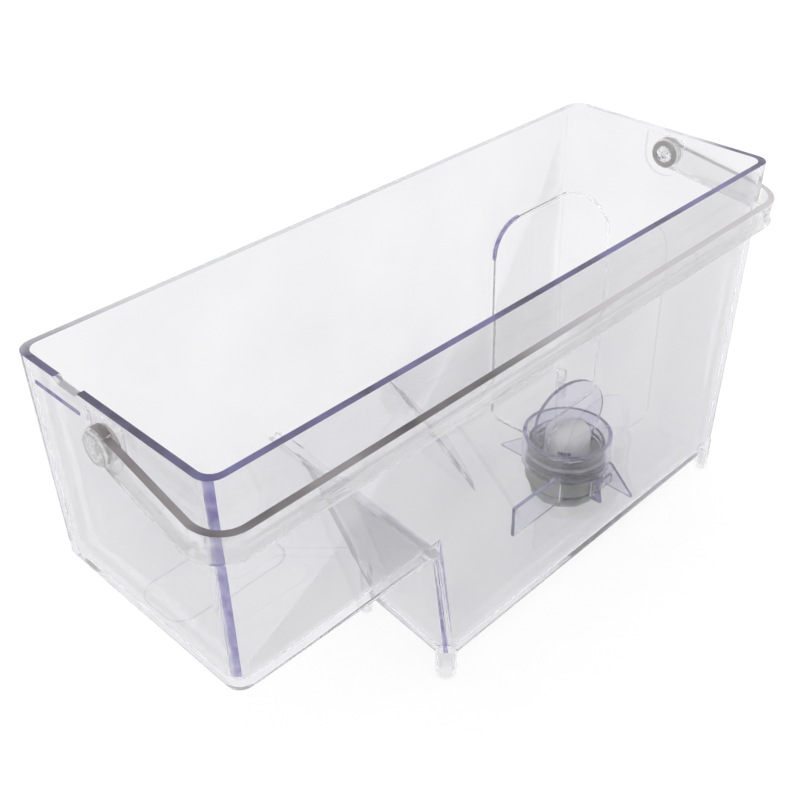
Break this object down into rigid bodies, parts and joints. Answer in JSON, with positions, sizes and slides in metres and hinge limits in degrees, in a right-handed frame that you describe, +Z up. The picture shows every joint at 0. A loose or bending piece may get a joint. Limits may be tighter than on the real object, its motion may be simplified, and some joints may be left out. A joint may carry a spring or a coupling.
{
  "type": "fresh water tank",
  "caption": "Clear stepped lift-out water tank with a swing carry handle, moulded feet and a spring-closed docking outlet under a strainer insert.",
  "frame": {"origin": "bottom centre of the box around the whole tank with its handle stowed, on the plane of the foot tips", "axes": "+X along the tank from the shallow end to the deep end, +Y from the handle's side to the back, +Z up"},
  "size_m": [0.3452, 0.1206, 0.1815],
  "materials": {
    "clear_tank": "clear moulded, polished, faint violet tint at its edges",
    "clear_handle": "clear moulded, polished",
    "clear_valve": "clear moulded, polished, violet tint at its edges",
    "grey_housing": "moulded, fine grain",
    "white_strainer": "moulded, satin",
    "natural_washer": "natural, waxy",
    "seal_rubber": "moulded, dull",
    "spring_steel": "bright drawn stainless"
  },
  "bodies": {
    "tank": {"tank_body": "clear_tank", "pivot_pin_left": "clear_handle", "pivot_pin_right": "clear_handle", "pivot_washer_left": "natural_washer", "pivot_washer_right": "natural_washer", "valve_housing": "grey_housing", "housing_gasket": "seal_rubber", "lock_nut": "grey_housing", "outlet_seal": "seal_rubber", "spring_bridge": "white_strainer", "return_spring": "spring_steel", "valve_collar": "clear_valve", "collar_seal": "seal_rubber"},
    "handle": {"carry_handle": "clear_handle"},
    "poppet": {"valve_poppet": "white_strainer", "poppet_seal": "seal_rubber"},
    "filter_insert": {"filter_grip": "clear_valve", "insert_seal": "seal_rubber", "strainer_dome": "white_strainer", "strainer_sleeve": "spring_steel"}
  },
  "joints": [
    {"name": "handle_hinge", "type": "hinge", "parent": "tank", "child": "handle", "pos_m": [0, 0.00382, 0.1685], "axis": [-1, 0, 0], "range_deg": [0, 98]},
    {"name": "poppet_slide", "type": "slide", "parent": "tank", "child": "poppet", "axis": [0, 0, 1], "range_m": [0, 0.004], "stiffness_N_per_m": 150, "springref_m": -0.004, "deforming": ["return_spring"]},
    {"name": "insert_turn", "type": "hinge", "parent": "tank", "child": "filter_insert", "pos_m": [0.0833, -0.00748, 0.0155], "axis": [0, 0, 1], "range_deg": [0, 60]}
  ]
}
